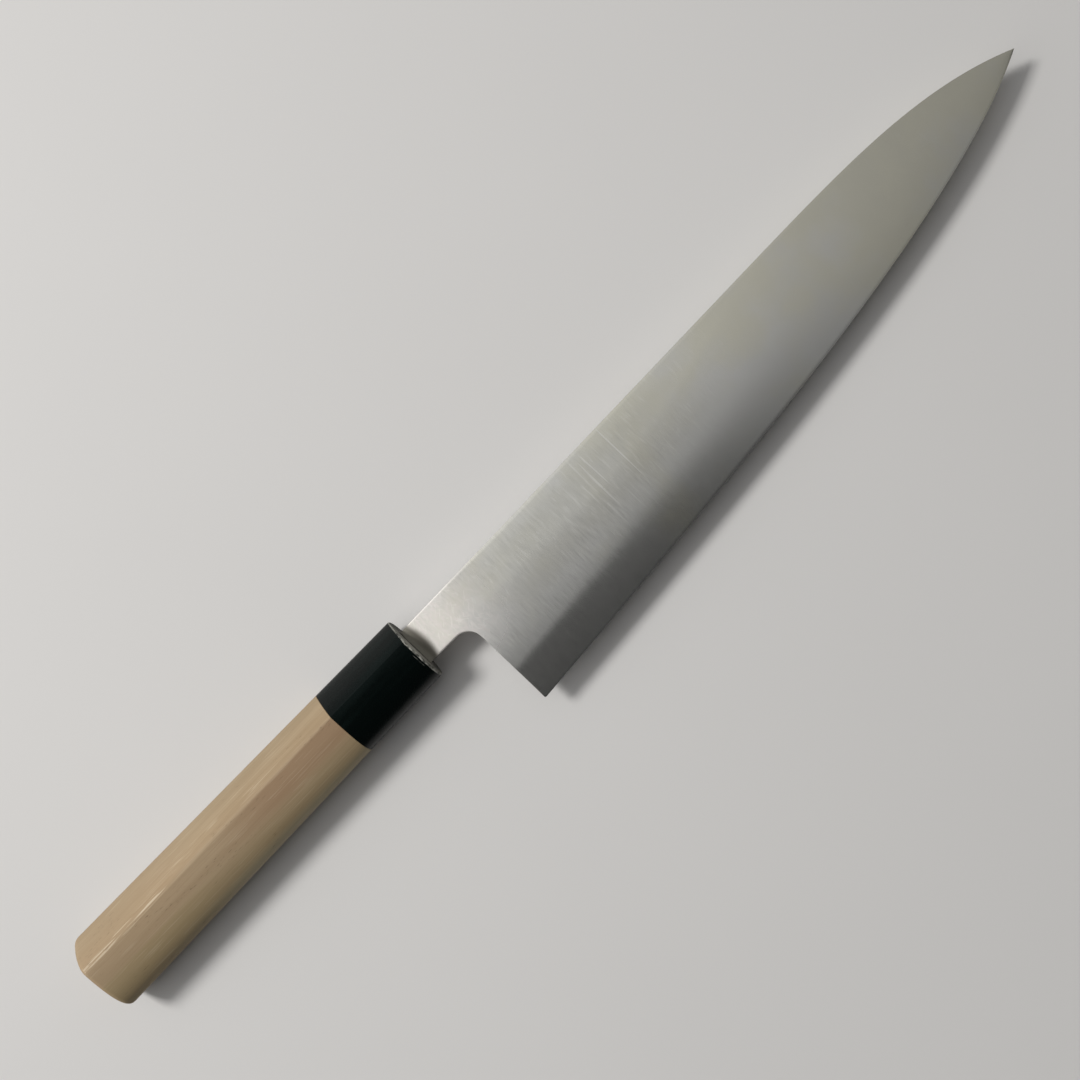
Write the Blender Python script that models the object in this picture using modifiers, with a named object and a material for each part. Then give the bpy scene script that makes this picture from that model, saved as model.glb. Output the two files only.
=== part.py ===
"""A gyuto, the Japanese cook's knife, with its traditional wooden handle.

The knife lies on its left side. +X runs from the butt of the handle to the tip, +Y from the
cutting edge to the spine, and +Z out of the blade's right side. Lengths are in metres.

Every piece is drawn in the knife's own frame: X = 0 is the front of the ferrule, Y = 0 is the
middle of the handle's height and Z = 0 is the middle of the blade's thickness. One empty then
carries the whole knife, so that it lies on Z = 0 in the middle of its length and width.
"""

import math

import bmesh
import bpy
from mathutils import Vector

MM = 0.001

# Fits
FIT_GAP = 0.3 * MM

# Blade outline
NECK_LENGTH = 17.0 * MM
EDGE_LENGTH = 239.6 * MM
HEEL_HEIGHT = 45.25 * MM
NECK_HEIGHT = 12.85 * MM
NECK_FLARE = 0.25 * MM
CHOIL_RADIUS = 5.4 * MM
HEEL_BLUNT = 0.9 * MM
SPINE_RISE = 1.45 * MM
SPINE_LEVEL_LENGTH = 124.0 * MM
TIP_DROP = 12.65 * MM
SPINE_CURVE = 4.1
EDGE_HEEL_ANGLE = math.radians(3.5)
EDGE_TIP_ANGLE = math.radians(26.0)
EDGE_HEEL_REACH = 96.0 * MM
EDGE_TIP_REACH = 48.0 * MM

# Blade thickness
SPINE_AT_HEEL = 3.2 * MM
SPINE_AT_TIP = 0.6 * MM
DISTAL_CURVE = 0.8
GRIND_RIGHT = 1.8
GRIND_LEFT = 1.45
BEHIND_EDGE = 0.3 * MM
BEVEL_HEIGHT = 0.7 * MM
SPINE_EASE = 0.45 * MM
# The shoulder is the line along the right side below which the side turns down to the edge.
# The turn is crisp at the heel. Towards the tip it spreads and dies away, by these shares of
# the edge's length.
SHOULDER_HEIGHT = 12.0 * MM
SHOULDER_TURN = math.radians(2.6)
SHOULDER_SOFT_AT_HEEL = 0.9 * MM
SHOULDER_SOFT_AHEAD = 6.0 * MM
SHOULDER_SPREADS_TO = 0.5
SHOULDER_FADES_FROM = 0.25
SHOULDER_FADES_TO = 0.75
# Where the blade is narrow, the shoulder lies at this share of its height
SHOULDER_SHARE = 0.4

# Tang
TANG_TO_BUTT = 26.4 * MM
TANG_SHOULDER = 5.0 * MM
TANG_HEIGHT = 10.5 * MM
TANG_END_HEIGHT = 5.5 * MM
TANG_END_THICKNESS = 2.0 * MM

# Handle
HANDLE_LENGTH = 136.4 * MM
FERRULE_LENGTH = 30.6 * MM
FRONT_HEIGHT = 22.65 * MM
BUTT_HEIGHT = 25.9 * MM
FRONT_RIDGE = 9.5 * MM
BUTT_RIDGE = 10.4 * MM
FRONT_RIDGE_DROP = 7.6 * MM
BUTT_RIDGE_DROP = 8.7 * MM
LEFT_DEPTH = 9.4 * MM
LAND_WIDTH = 8.0 * MM
FACET_ANGLE = math.radians(35.0)
FLANK_ANGLE = math.radians(5.0)
RIM_ROUND = 1.1 * MM
# The butt's rim is rounded more at the top, from this share of half the height upwards
BUTT_ROUND = 1.6 * MM
BUTT_TOP_ROUND = 3.8 * MM
BUTT_TOP_FROM = 0.4
# How far the wood's ridge is worn away to each side, and the most that it may take of the
# curve beside it. The horn's ridge is as good as new.
JOINT_WEAR = 0.35 * MM
BUTT_WEAR = 1.3 * MM
WEAR_LIMIT = 0.4
# How far each curve of the section keeps its end's direction, as a share of the half height
# or, beside the widest points, of the ridge's height
FACET_HOLD = 0.35
FLANK_HOLD = 0.52
BACK_HOLD = 0.15
BELLY_HOLD = 0.75
# The same for a quarter of an ellipse
ROUND_HOLD = 0.5523

# Inside the handle
FERRULE_FRONT_WALL = 8.6 * MM
TENON_WALL = 0.9 * MM
SEAL_WALL = 0.8 * MM
SEAL_CORNER = 1.4 * MM
SEAL_DEPTH = 3.0 * MM
SEAL_PROUD = 0.5 * MM
SEAL_ROUND = 0.35 * MM

# Fineness
BLADE_STATIONS = 46
ROWS_BELOW_SHOULDER = 5
ROWS_ABOVE_SHOULDER = 8
SECTION_STEPS = 9
WEAR_STEPS = 4
ROUND_STEPS = 4
BORE_SIDES = 48
CHOIL_STEPS = 12
CORNER_STEPS = 4
EASE_STEPS = 3
RIM_SEGMENTS = 2
# Points nearer than this are one point
MERGE_DISTANCE = 0.002 * MM
# Faces that meet at less than the first angle are one face, and from the others on their
# meeting is drawn as a sharp line, or rounded
FLAT_ANGLE = math.radians(0.1)
SHARP_ANGLE = math.radians(28.0)
RIM_ANGLE = math.radians(60.0)

TIP_X = NECK_LENGTH + EDGE_LENGTH
TANG_LENGTH = HANDLE_LENGTH - TANG_TO_BUTT
# The room that a slot leaves round what stands in it
PLAY = 2 * FIT_GAP
# How far a cutter runs past the surface that it cuts
OVERCUT = 2.0 * MM


def clear_scene():
    """Empty the scene, so that the script gives the same knife each time."""
    for item in list(bpy.data.objects):
        bpy.data.objects.remove(item, do_unlink=True)


def new_collection(name):
    collection = bpy.data.collections.new(name)
    bpy.context.scene.collection.children.link(collection)
    return collection


def new_material(name, colour, roughness, metallic=0.0):
    material = bpy.data.materials.new(name)
    material.use_nodes = True
    shader = material.node_tree.nodes["Principled BSDF"]
    shader.inputs["Base Color"].default_value = (*colour, 1.0)
    shader.inputs["Roughness"].default_value = roughness
    shader.inputs["Metallic"].default_value = metallic
    return material


def add_object(name, mesh, collection, parent, material=None):
    item = bpy.data.objects.new(name, mesh)
    collection.objects.link(item)
    item.parent = parent
    if material:
        mesh.materials.append(material)
    return item


def mesh_from(name, build):
    """A mesh that the function build makes in a bmesh."""
    work = bmesh.new()
    build(work)
    bmesh.ops.recalc_face_normals(work, faces=work.faces)
    mesh = bpy.data.meshes.new(name)
    work.to_mesh(mesh)
    work.free()
    return mesh


def loft(name, rings):
    """A closed body through rings of points, with flat ends. Points that meet are merged."""
    def build(work):
        rows = [[work.verts.new(point) for point in ring] for ring in rings]
        count = len(rings[0])
        for back, front in zip(rows, rows[1:]):
            for i in range(count):
                j = (i + 1) % count
                work.faces.new((back[i], back[j], front[j], front[i]))
        work.faces.new(rows[0])
        work.faces.new(rows[-1])
        bmesh.ops.remove_doubles(work, verts=work.verts, dist=MERGE_DISTANCE)
        bmesh.ops.dissolve_degenerate(work, edges=work.edges, dist=MERGE_DISTANCE)

    return mesh_from(name, build)


def plate(name, outline, low, high, collection, parent):
    """A flat outline in X and Y, made solid between two heights."""
    curve = bpy.data.curves.new(name + "_outline", "CURVE")
    curve.dimensions = "2D"
    curve.fill_mode = "BOTH"
    curve.extrude = (high - low) / 2
    spline = curve.splines.new("POLY")
    spline.points.add(len(outline) - 1)
    for point, (x, y) in zip(spline.points, outline):
        point.co = (x, y, 0.0, 1.0)
    spline.use_cyclic_u = True
    drawn = add_object(name + "_outline", curve, collection, parent)
    drawn.location.z = (low + high) / 2
    bpy.context.view_layer.update()
    evaluated = drawn.evaluated_get(bpy.context.evaluated_depsgraph_get())
    mesh = bpy.data.meshes.new_from_object(evaluated)
    mesh.name = name
    work = bmesh.new()
    work.from_mesh(mesh)
    bmesh.ops.remove_doubles(work, verts=work.verts, dist=MERGE_DISTANCE)
    bmesh.ops.dissolve_limit(work, angle_limit=FLAT_ANGLE, verts=work.verts, edges=work.edges)
    work.to_mesh(mesh)
    work.free()
    solid = add_object(name, mesh, collection, parent)
    solid.matrix_world = drawn.matrix_world
    bpy.data.objects.remove(drawn, do_unlink=True)
    return solid


def as_cutter(item):
    item.hide_render = True
    item.display_type = "WIRE"
    return item


def boolean(target, tool, operation="DIFFERENCE"):
    modifier = target.modifiers.new(operation.lower() + "_" + tool.name, "BOOLEAN")
    modifier.operation = operation
    modifier.solver = "EXACT"
    modifier.object = as_cutter(tool)


def mix(a, b, share):
    return a + (b - a) * share


def smooth(value, low, high):
    """0 below low, 1 above high and a soft rise between them."""
    share = min(1.0, max(0.0, (value - low) / (high - low)))
    return share * share * (3.0 - 2.0 * share)


def bezier(p0, p1, p2, p3, share):
    """A point on a cubic curve, each point a Vector."""
    rest = 1.0 - share
    return (p0 * rest ** 3 + p1 * 3 * rest ** 2 * share
            + p2 * 3 * rest * share ** 2 + p3 * share ** 3)


def shade(item):
    item.data.shade_smooth()
    item.data.set_sharp_from_angle(angle=SHARP_ANGLE)


def spine_y(x):
    """The spine's height: a straight line that falls away to the tip."""
    fall_from = TIP_X - (EDGE_LENGTH - SPINE_LEVEL_LENGTH)
    share = max(0.0, (x - fall_from) / (TIP_X - fall_from))
    return NECK_HEIGHT / 2 + SPINE_RISE * x / TIP_X - TIP_DROP * share ** SPINE_CURVE


def heel_y():
    return spine_y(NECK_LENGTH) - HEEL_HEIGHT


def edge_point(share):
    """A point on the cutting edge, from the heel at 0 to the tip at 1."""
    heel = Vector((NECK_LENGTH, heel_y()))
    tip = Vector((TIP_X, spine_y(TIP_X)))
    away = Vector((math.cos(EDGE_HEEL_ANGLE), math.sin(EDGE_HEEL_ANGLE))) * EDGE_HEEL_REACH
    back = Vector((math.cos(EDGE_TIP_ANGLE), math.sin(EDGE_TIP_ANGLE))) * EDGE_TIP_REACH
    return bezier(heel, heel + away, tip - back, tip, share)


def spine_thickness(x):
    """The blade is thickest from the neck to the heel and thins to the tip and to the tang's end."""
    if x < 0.0:
        return mix(SPINE_AT_HEEL, TANG_END_THICKNESS, -x / TANG_LENGTH)
    share = max(0.0, (x - NECK_LENGTH) / EDGE_LENGTH)
    return mix(SPINE_AT_TIP, SPINE_AT_HEEL, max(0.0, 1.0 - share) ** DISTAL_CURVE)


def shoulder_line(full):
    """The shoulder's height above the edge, by the blade's height there from edge to spine."""
    return min(SHOULDER_HEIGHT, SHOULDER_SHARE * full)


def shoulder_swell(x, height, full):
    """How far the shoulder makes the side stand out at a height above the edge.

    It grows from nothing at the edge to most at the shoulder's line and falls back to nothing
    at the spine, with its crest rounded.
    """
    along = (x - NECK_LENGTH) / EDGE_LENGTH
    line = shoulder_line(full)
    spread = smooth(along, 0.0, SHOULDER_SPREADS_TO)
    soft = mix(SHOULDER_SOFT_AT_HEEL, SHOULDER_SOFT_AHEAD, spread) / line
    rise = height / line
    fall = (full - height) / (full - line)
    crest = (rise + fall - math.hypot(rise - fall, soft)) / 2
    foot = (1.0 - math.hypot(1.0, soft)) / 2
    most = math.tan(SHOULDER_TURN) * line * (full - line) / full
    return (1.0 - smooth(along, SHOULDER_FADES_FROM, SHOULDER_FADES_TO)) * (crest - foot) * most


def side_points(x, low, high, grind, shouldered):
    """One side of the section at x, from above the edge to the spine, as height and depth.

    A short bevel leads up from the edge. Above it the side swells to its full thickness at the
    spine, whose corner is eased. Near the tip all of these shrink with the blade.
    """
    full = high - low
    half = spine_thickness(x) / 2
    bevel = min(BEVEL_HEIGHT, full / 4)
    behind = min(BEHIND_EDGE / 2, half / 2)
    ease = min(SPINE_EASE, half / 2, full / 4)
    line = shoulder_line(full)
    heights = [mix(bevel, line, row / ROWS_BELOW_SHOULDER) for row in range(ROWS_BELOW_SHOULDER)]
    heights += [mix(line, full - ease, row / ROWS_ABOVE_SHOULDER)
                for row in range(ROWS_ABOVE_SHOULDER + 1)]
    points = []
    for height in heights:
        depth = behind + (half - behind) * (1.0 - (1.0 - height / full) ** grind)
        if shouldered:
            depth = min(half, depth + shoulder_swell(x, height, full))
        points.append((low + height, depth))
    crown = points[-1][1]
    for step in range(1, EASE_STEPS + 1):
        angle = math.pi / 2 * step / EASE_STEPS
        points.append((high - ease * (1 - math.sin(angle)), crown - ease * (1 - math.cos(angle))))
    return points


def blade_ring(x, low, high):
    """The closed section at x: the edge, up the right side, over the spine, down the left side."""
    right = [(x, y, z) for y, z in side_points(x, low, high, GRIND_RIGHT, True)]
    left = [(x, y, -z) for y, z in side_points(x, low, high, GRIND_LEFT, False)]
    return [(x, low, 0.0)] + right + left[::-1]


def blade_blank():
    """The whole blade before its back is cut away, from behind the tang's end to the tip."""
    slope = math.tan(EDGE_HEEL_ANGLE)
    rings = []
    for x in (-TANG_LENGTH - OVERCUT, 0.0, NECK_LENGTH - OVERCUT):
        rings.append(blade_ring(x, heel_y() - slope * min(OVERCUT, NECK_LENGTH - x), spine_y(x)))
    for station in range(1, BLADE_STATIONS):
        point = edge_point(station / BLADE_STATIONS)
        rings.append(blade_ring(point.x, point.y, spine_y(point.x)))
    tip = edge_point(1.0)
    rings.append([(tip.x, tip.y, 0.0)] * len(rings[0]))
    return loft("blade", rings)


def tang_height(x):
    return mix(TANG_HEIGHT, TANG_END_HEIGHT, (-x - TANG_SHOULDER) / (TANG_LENGTH - TANG_SHOULDER))


def tenon_radius():
    """The tenon keeps a wall of wood round the corners of the tang's socket."""
    front = -FERRULE_FRONT_WALL
    corner = Vector((tang_height(front) + PLAY, spine_thickness(front) + PLAY)) / 2
    return corner.length + TENON_WALL


def arc(centre, radius, start, end, steps):
    return [(centre[0] + radius * math.cos(mix(start, end, i / steps)),
             centre[1] + radius * math.sin(mix(start, end, i / steps))) for i in range(steps + 1)]


def under_outline():
    """What is cut away below the tang and the neck and behind the heel."""
    far = heel_y() - HEEL_HEIGHT
    back = -TANG_LENGTH - 2 * OVERCUT
    under = -NECK_HEIGHT / 2
    centre = (NECK_LENGTH - CHOIL_RADIUS, under - NECK_FLARE - CHOIL_RADIUS)
    choil = arc(centre, CHOIL_RADIUS, math.pi / 2, 0.0, CHOIL_STEPS)
    reach = HEEL_BLUNT + OVERCUT
    return ([(back, far), (back, 0.0), (-TANG_LENGTH, 0.0), (-TANG_LENGTH, -TANG_END_HEIGHT / 2),
             (-TANG_SHOULDER, -TANG_HEIGHT / 2), (-TANG_SHOULDER, under), (0.0, under)] + choil
            + [(NECK_LENGTH, heel_y() + HEEL_BLUNT), (NECK_LENGTH + reach, heel_y() - OVERCUT),
               (NECK_LENGTH + reach, far)])


def over_outline():
    """What is cut away above the tang."""
    far = NECK_HEIGHT
    back = -TANG_LENGTH - 2 * OVERCUT
    return [(back, far), (back, 0.0), (-TANG_LENGTH, 0.0), (-TANG_LENGTH, TANG_END_HEIGHT / 2),
            (-TANG_SHOULDER, TANG_HEIGHT / 2), (-TANG_SHOULDER, far)]


def curve_points(curve, start, end):
    """Points along a part of a cubic curve, all but the last."""
    return [bezier(*curve, mix(start, end, i / SECTION_STEPS)) for i in range(SECTION_STEPS)]


def worn_ridge(before, ridge, after):
    """The round back that wear leaves of the ridge, between the two points where it ends."""
    points = []
    for i in range(WEAR_STEPS):
        share = i / WEAR_STEPS
        points.append(mix(mix(before, ridge, share), mix(ridge, after, share), share))
    return points


def handle_ring(x, inset=0.0, wear=0.0):
    """The handle's section at x, a rounded D with one ridge on its right side."""
    share = -x / HANDLE_LENGTH
    half = mix(FRONT_HEIGHT, BUTT_HEIGHT, share) / 2 - inset
    ridge_z = mix(FRONT_RIDGE, BUTT_RIDGE, share) - inset
    left_z = -(LEFT_DEPTH - inset)
    land = LAND_WIDTH / 2 - inset / 2
    ridge = Vector((half + inset - mix(FRONT_RIDGE_DROP, BUTT_RIDGE_DROP, share), ridge_z))
    top = Vector((half, 0.0))
    bottom = Vector((-half, 0.0))
    facet = Vector((math.cos(FACET_ANGLE), -math.sin(FACET_ANGLE))) * half * FACET_HOLD
    flank = Vector((-math.cos(FLANK_ANGLE), -math.sin(FLANK_ANGLE))) * half * FLANK_HOLD
    side = Vector((0.0, ROUND_HOLD * left_z))
    flat = land + ROUND_HOLD * (half - land)
    upper = (top, top + Vector((0.0, BACK_HOLD * ridge_z)), ridge + facet, ridge)
    lower = (ridge, ridge + flank, bottom + Vector((0.0, BELLY_HOLD * ridge_z)), bottom)
    under = (bottom, bottom + side, Vector((-flat, left_z)), Vector((-land, left_z)))
    back = (Vector((land, left_z)), Vector((flat, left_z)), top + side, top)
    # A cubic curve leaves its end at three times the length of its handle there
    facet_end = 1.0 - min(WEAR_LIMIT, wear / (3 * facet.length))
    flank_start = min(WEAR_LIMIT, wear / (3 * flank.length))
    ring = curve_points(upper, 0.0, facet_end)
    if wear:
        ring += worn_ridge(bezier(*upper, facet_end), ridge, bezier(*lower, flank_start))
    ring += curve_points(lower, flank_start, 1.0) + curve_points(under, 0.0, 1.0)
    ring += [under[-1]] + curve_points(back, 0.0, 1.0)
    return [(x, point.x, point.y) for point in ring]


def rim_angles():
    return [math.pi / 2 * step / ROUND_STEPS for step in range(ROUND_STEPS + 1)]


def ferrule_body():
    rings = [handle_ring(-FERRULE_LENGTH)]
    for angle in reversed(rim_angles()):
        rings.append(handle_ring(-RIM_ROUND * (1 - math.cos(angle)),
                                 RIM_ROUND * (1 - math.sin(angle))))
    return loft("ferrule", rings)


def butt_ring(angle):
    """One ring of the butt's rim. The rim is rounded more towards the top, where the palm lies."""
    ring = []
    for i, (_, y, _) in enumerate(handle_ring(-HANDLE_LENGTH, 0.0, BUTT_WEAR)):
        upward = smooth(y / (BUTT_HEIGHT / 2), BUTT_TOP_FROM, 1.0)
        radius = mix(BUTT_ROUND, BUTT_TOP_ROUND, upward)
        x = -HANDLE_LENGTH + radius * (1 - math.cos(angle))
        ring.append(handle_ring(x, radius * (1 - math.sin(angle)), BUTT_WEAR)[i])
    return ring


def handle_body():
    rings = [butt_ring(angle) for angle in rim_angles()]
    rings.append(handle_ring(-FERRULE_LENGTH - FIT_GAP, 0.0, JOINT_WEAR))
    return loft("handle", rings)


def round_bar(name, radius, start, end, collection, parent):
    """A round bar along X."""
    def build(work):
        bmesh.ops.create_cone(work, cap_ends=True, segments=BORE_SIDES, radius1=radius,
                              radius2=radius, depth=end - start)

    bar = add_object(name, mesh_from(name, build), collection, parent)
    bar.rotation_euler.y = math.pi / 2
    bar.location.x = (start + end) / 2
    return bar


def tapered_bar(name, front, back, collection, parent):
    """A rectangular bar along X. front and back are its ends, each x, height and thickness."""
    def build(work):
        bmesh.ops.create_cube(work, size=1.0)
        for vertex in work.verts:
            x, height, thickness = front if vertex.co.x > 0 else back
            vertex.co = (x, vertex.co.y * height, vertex.co.z * thickness)

    return add_object(name, mesh_from(name, build), collection, parent)


def rounded_bar(name, height, thickness, corner, start, end, collection, parent):
    """A bar along X whose section is a rectangle with round corners."""
    outline = []
    for quarter, (u, v) in enumerate(((1, 1), (-1, 1), (-1, -1), (1, -1))):
        centre = (u * (thickness / 2 - corner), v * (height / 2 - corner))
        turn = quarter * math.pi / 2
        outline += arc(centre, corner, turn, turn + math.pi / 2, CORNER_STEPS)
    bar = plate(name, outline, start, end, collection, parent)
    bar.rotation_euler.y = math.pi / 2
    bar.location = ((start + end) / 2, 0.0, 0.0)
    return bar


def build_blade(parts, cutters, frame):
    steel = new_material("satin_steel", (0.60, 0.60, 0.57), 0.32, 1.0)
    blade = add_object("blade", blade_blank(), parts, frame, steel)
    thick = 2 * SPINE_AT_HEEL
    boolean(blade, plate("cut_under", under_outline(), -thick, thick, cutters, frame))
    boolean(blade, plate("cut_over", over_outline(), -thick, thick, cutters, frame))
    shade(blade)


def build_ferrule(parts, cutters, frame):
    """The horn collar, with a blind bore behind and the neck's slot and the seal's pocket in front."""
    horn = new_material("black_horn", (0.012, 0.014, 0.013), 0.35)
    ferrule = add_object("ferrule", ferrule_body(), parts, frame, horn)
    boolean(ferrule, round_bar("cut_bore", tenon_radius() + FIT_GAP, -FERRULE_LENGTH - OVERCUT,
                               -FERRULE_FRONT_WALL, cutters, frame))
    slot = (NECK_HEIGHT + PLAY, SPINE_AT_HEEL + PLAY)
    boolean(ferrule, tapered_bar("cut_slot", (OVERCUT, *slot),
                                 (-FERRULE_FRONT_WALL - OVERCUT, *slot), cutters, frame))
    room = PLAY + 2 * SEAL_WALL
    boolean(ferrule, rounded_bar("cut_pocket", slot[0] + room, slot[1] + room,
                                 SEAL_CORNER + FIT_GAP, -SEAL_DEPTH, OVERCUT, cutters, frame))
    shade(ferrule)


def build_handle(parts, cutters, frame):
    """The wooden grip, with a round tenon for the ferrule and a tapered socket for the tang."""
    wood = new_material("pale_wood", (0.52, 0.38, 0.23), 0.6)
    handle = add_object("handle", handle_body(), parts, frame, wood)
    tenon_end = -FERRULE_FRONT_WALL - FIT_GAP
    boolean(handle, round_bar("add_tenon", tenon_radius(), -FERRULE_LENGTH - OVERCUT,
                              tenon_end, cutters, frame), "UNION")
    front = tenon_end + OVERCUT
    back = -TANG_LENGTH - FIT_GAP
    boolean(handle, tapered_bar("cut_socket",
                                (front, tang_height(front) + PLAY, spine_thickness(front) + PLAY),
                                (back, tang_height(back) + PLAY, spine_thickness(back) + PLAY),
                                cutters, frame))
    shade(handle)


def build_seal(parts, cutters, frame):
    """The ring of resin in the ferrule's pocket, standing a little proud of its front."""
    resin = new_material("seal_resin", (0.05, 0.045, 0.04), 0.45)
    inside = (NECK_HEIGHT + PLAY, SPINE_AT_HEEL + PLAY)
    seal = rounded_bar("tang_seal", inside[0] + 2 * SEAL_WALL, inside[1] + 2 * SEAL_WALL,
                       SEAL_CORNER, -SEAL_DEPTH + FIT_GAP, SEAL_PROUD, parts, frame)
    seal.data.materials.append(resin)
    rim = seal.modifiers.new("rounded_rim", "BEVEL")
    rim.width = min(SEAL_ROUND, SEAL_WALL / 2)
    rim.segments = RIM_SEGMENTS
    rim.limit_method = "ANGLE"
    rim.angle_limit = RIM_ANGLE
    boolean(seal, tapered_bar("cut_seal", (SEAL_PROUD + OVERCUT, *inside),
                              (-SEAL_DEPTH - OVERCUT, *inside), cutters, frame))
    shade(seal)


def lay_down(frame):
    """Put the middle of the knife's length and width over the origin, its left side on Z = 0."""
    low_y = heel_y() + HEEL_BLUNT * math.tan(EDGE_HEEL_ANGLE) / (1 + math.tan(EDGE_HEEL_ANGLE))
    high_y = max(point[1] for point in butt_ring(math.pi / 2))
    frame.location = ((HANDLE_LENGTH - TIP_X) / 2, -(low_y + high_y) / 2, LEFT_DEPTH)


def main():
    clear_scene()
    parts = new_collection("gyuto_knife")
    cutters = new_collection("cutters")
    frame = bpy.data.objects.new("knife_frame", None)
    parts.objects.link(frame)
    build_blade(parts, cutters, frame)
    build_ferrule(parts, cutters, frame)
    build_handle(parts, cutters, frame)
    build_seal(parts, cutters, frame)
    lay_down(frame)


main()
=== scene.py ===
"""The looks of a gyuto, the Japanese cook's knife with a horn ferrule and a D-shaped wooden handle.

Every piece is drawn in the knife's own frame and then moved to its place in the frame that the
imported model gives. In the knife's frame X = 0 is the front of the ferrule and +X runs to the
tip, Y = 0 is the middle of the handle's height and +Y runs to the spine, and Z = 0 is the
middle of the blade's thickness and +Z comes out of its right side. Lengths are in metres.
"""

import math
from itertools import accumulate

import bmesh
import bpy
from bpy.props import FloatProperty, FloatVectorProperty, IntProperty, PointerProperty
from mathutils import Matrix, Vector


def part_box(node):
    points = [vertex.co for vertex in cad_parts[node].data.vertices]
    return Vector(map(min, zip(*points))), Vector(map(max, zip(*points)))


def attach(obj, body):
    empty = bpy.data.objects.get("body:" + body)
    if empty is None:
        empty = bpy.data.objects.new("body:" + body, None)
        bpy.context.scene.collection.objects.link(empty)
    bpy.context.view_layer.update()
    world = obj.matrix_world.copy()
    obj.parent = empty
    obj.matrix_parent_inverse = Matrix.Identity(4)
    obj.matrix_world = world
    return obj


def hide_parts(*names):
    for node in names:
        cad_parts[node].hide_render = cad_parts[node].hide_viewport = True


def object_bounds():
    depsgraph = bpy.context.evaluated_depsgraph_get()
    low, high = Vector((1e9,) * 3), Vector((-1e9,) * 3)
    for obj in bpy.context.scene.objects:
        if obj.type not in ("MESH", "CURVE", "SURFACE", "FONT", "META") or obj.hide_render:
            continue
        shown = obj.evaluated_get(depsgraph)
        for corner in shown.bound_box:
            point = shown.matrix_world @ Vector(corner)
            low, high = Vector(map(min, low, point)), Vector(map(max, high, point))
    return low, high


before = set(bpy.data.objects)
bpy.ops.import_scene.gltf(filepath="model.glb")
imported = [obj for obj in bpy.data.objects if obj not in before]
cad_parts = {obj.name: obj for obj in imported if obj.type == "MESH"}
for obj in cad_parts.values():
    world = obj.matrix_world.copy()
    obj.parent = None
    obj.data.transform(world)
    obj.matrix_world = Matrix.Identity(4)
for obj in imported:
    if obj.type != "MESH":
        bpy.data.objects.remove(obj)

bl_info = {
    "name": "Gyuto Knife",
    "version": (1, 0, 0),
    "blender": (4, 5, 0),
    "location": "View3D > Sidebar > Knife",
    "description": "Builds a Japanese cook's knife and a plain studio round it",
    "category": "Object",
}

MM = 0.001
CAD_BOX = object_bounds()
BODY = "root"
QUARTER = math.pi / 2

# Blade outline
NECK_LENGTH = 17.0 * MM
EDGE_LENGTH = 239.6 * MM
HEEL_HEIGHT = 45.25 * MM
NECK_HEIGHT = 12.85 * MM
NECK_FLARE = 0.25 * MM
CHOIL_RADIUS = 5.4 * MM
HEEL_BLUNT = 0.6 * MM
SPINE_RISE = 1.45 * MM
SPINE_LEVEL_LENGTH = 124.0 * MM
TIP_DROP = 12.65 * MM
SPINE_CURVE = 4.1
EDGE_HEEL_ANGLE = math.radians(3.5)
EDGE_TIP_ANGLE = math.radians(26.0)
EDGE_HEEL_REACH = 96.0 * MM
EDGE_TIP_REACH = 48.0 * MM
TIP_X = NECK_LENGTH + EDGE_LENGTH

# Blade thickness
SPINE_AT_TIP = 0.05 * MM
DISTAL_CURVE = 0.65
GRIND_LEFT = 1.45
GRIND_RIGHT = 1.8
BEHIND_EDGE = 0.02 * MM
BEVEL_HEIGHT = 0.6 * MM
# The right side's shoulder line: the highest share of the blade that it reaches, how wide its
# crest is at the heel and further on, and where along the edge it widens and dies away
SHOULDER_TOP = 0.4
SHOULDER_CREST = (0.9 * MM, 9.0 * MM)
SHOULDER_WIDENS = (0.05, 0.45)
SHOULDER_FADES = (0.2, 0.66)

# How many lines across the blade its surface is drawn through, stretch by stretch
TANG_LINES = 12
SHOULDER_LINES = 4
NECK_LINES = 16
CHOIL_LINES = 24
BACK_LINES = 30
CORNER_LINES = 8
EDGE_LINES = 220
# Near the heel the lines lean with the outline, and from here to the tip they stand upright
UPRIGHT_FROM = 90.0 * MM
# A shorter line is drawn as a point, which is the tip
SHORTEST_LINE = 0.02 * MM
# The blade's height counts as no less than this, because its thickness is worked out by shares
LEAST_HEIGHT = 0.001 * MM

# Tang, which ends inside the handle
TANG_LENGTH = 110.0 * MM
TANG_SHOULDER = 5.0 * MM
SHOULDER_RUN = 1.0 * MM
TANG_HEIGHT = 10.5 * MM
TANG_END_HEIGHT = 5.5 * MM
TANG_END_THICKNESS = 2.0 * MM

# Handle section
HANDLE_LENGTH = 136.4 * MM
FERRULE_LENGTH = 30.6 * MM
# How far the horn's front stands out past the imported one
FERRULE_REACH = 0.7 * MM
LEFT_DEPTH = 9.4 * MM
LAND_WIDTH = 8.0 * MM
FACET_ANGLE = math.radians(35.0)
FLANK_ANGLE = math.radians(5.0)
# How far each curve of the section keeps its direction, as a share of its size
FACET_HOLD = 0.35
FLANK_HOLD = 0.52
BACK_HOLD = 0.15
BELLY_HOLD = 0.75
ROUND_HOLD = 0.5523
# The stretches round the section, and between which of them, counted up from its foot, the
# butt's rim grows rounder
STRETCHES = 6
BUTT_TOP_REACH = (2.0, 2.85)

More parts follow.
